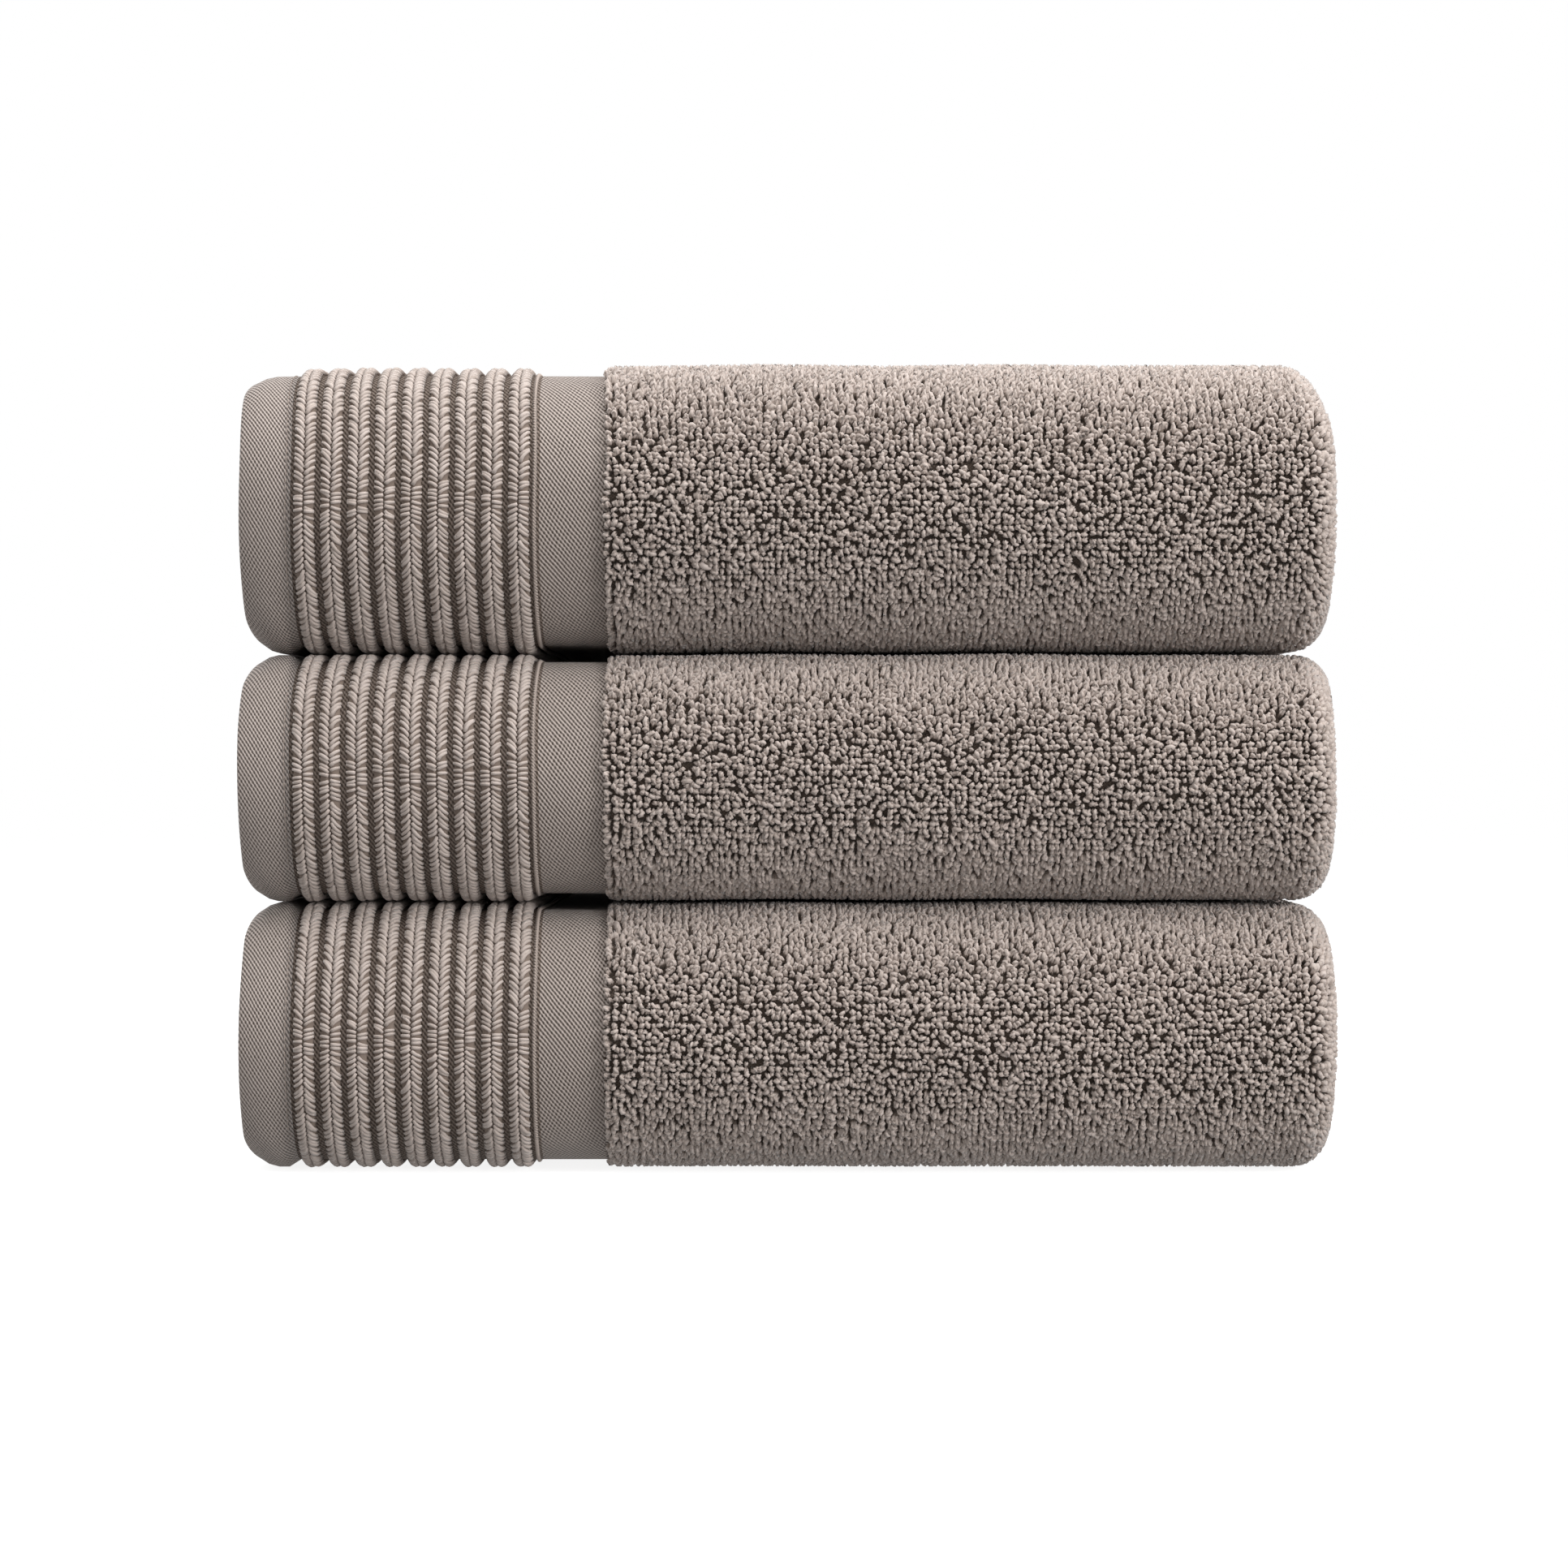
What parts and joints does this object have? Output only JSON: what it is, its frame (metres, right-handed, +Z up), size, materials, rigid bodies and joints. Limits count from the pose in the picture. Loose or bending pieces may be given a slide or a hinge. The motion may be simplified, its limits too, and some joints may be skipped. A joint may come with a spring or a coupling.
{
  "type": "bath towel set",
  "caption": "Stack of folded terry bath towels with rounded fold fronts, loop pile, and woven end borders of braided corded ribs, a flat band and a hem.",
  "frame": {"origin": "middle of the stack's footprint, on the surface that it stands on", "axes": "+X along the folded towels, from the hemmed ends to the ends where the layers turn round; -Y towards the rounded fold fronts; +Z up"},
  "size_m": [0.35, 0.2519, 0.2641],
  "materials": {
    "terry_pile": "matte",
    "twill_ground": "matte",
    "hem_weave": "matte",
    "braided_rib": "matte",
    "selvedge_weave": "matte",
    "sewing_thread": "matte"
  },
  "bodies": {
    "bottom_towel": {"bottom_terry_cloth": "terry_pile", "bottom_outer_border_cloth": "twill_ground", "bottom_outer_end_hem": "hem_weave", "bottom_outer_rib_1": "braided_rib", "bottom_outer_rib_2": "braided_rib", "bottom_outer_rib_3": "braided_rib", "bottom_outer_rib_4": "braided_rib", "bottom_outer_rib_5": "braided_rib", "bottom_outer_rib_6": "braided_rib", "bottom_outer_rib_7": "braided_rib", "bottom_outer_rib_8": "braided_rib", "bottom_outer_rib_9": "braided_rib", "bottom_outer_ridge": "braided_rib", "bottom_inner_border_cloth": "twill_ground", "bottom_inner_border_ribs": "braided_rib", "bottom_inner_end_hem": "hem_weave", "bottom_outer_selvedge": "selvedge_weave", "bottom_inner_selvedge": "selvedge_weave", "bottom_hem_thread": "sewing_thread"},
    "middle_towel": {"middle_terry_cloth": "terry_pile", "middle_outer_border_cloth": "twill_ground", "middle_outer_end_hem": "hem_weave", "middle_outer_rib_1": "braided_rib", "middle_outer_rib_2": "braided_rib", "middle_outer_rib_3": "braided_rib", "middle_outer_rib_4": "braided_rib", "middle_outer_rib_5": "braided_rib", "middle_outer_rib_6": "braided_rib", "middle_outer_rib_7": "braided_rib", "middle_outer_rib_8": "braided_rib", "middle_outer_rib_9": "braided_rib", "middle_outer_ridge": "braided_rib", "middle_inner_border_cloth": "twill_ground", "middle_inner_border_ribs": "braided_rib", "middle_inner_end_hem": "hem_weave", "middle_outer_selvedge": "selvedge_weave", "middle_inner_selvedge": "selvedge_weave", "middle_hem_thread": "sewing_thread"},
    "top_towel": {"top_terry_cloth": "terry_pile", "top_outer_border_cloth": "twill_ground", "top_outer_end_hem": "hem_weave", "top_outer_rib_1": "braided_rib", "top_outer_rib_2": "braided_rib", "top_outer_rib_3": "braided_rib", "top_outer_rib_4": "braided_rib", "top_outer_rib_5": "braided_rib", "top_outer_rib_6": "braided_rib", "top_outer_rib_7": "braided_rib", "top_outer_rib_8": "braided_rib", "top_outer_rib_9": "braided_rib", "top_outer_ridge": "braided_rib", "top_inner_border_cloth": "twill_ground", "top_inner_border_ribs": "braided_rib", "top_inner_end_hem": "hem_weave", "top_outer_selvedge": "selvedge_weave", "top_inner_selvedge": "selvedge_weave", "top_hem_thread": "sewing_thread"}
  },
  "joints": [
    {"name": "middle_lift", "type": "slide", "parent": "bottom_towel", "child": "middle_towel", "axis": [0, 0, 1], "range_m": [0, 0.12]},
    {"name": "top_lift", "type": "slide", "parent": "middle_towel", "child": "top_towel", "axis": [0, 0, 1], "range_m": [0, 0.12]}
  ]
}
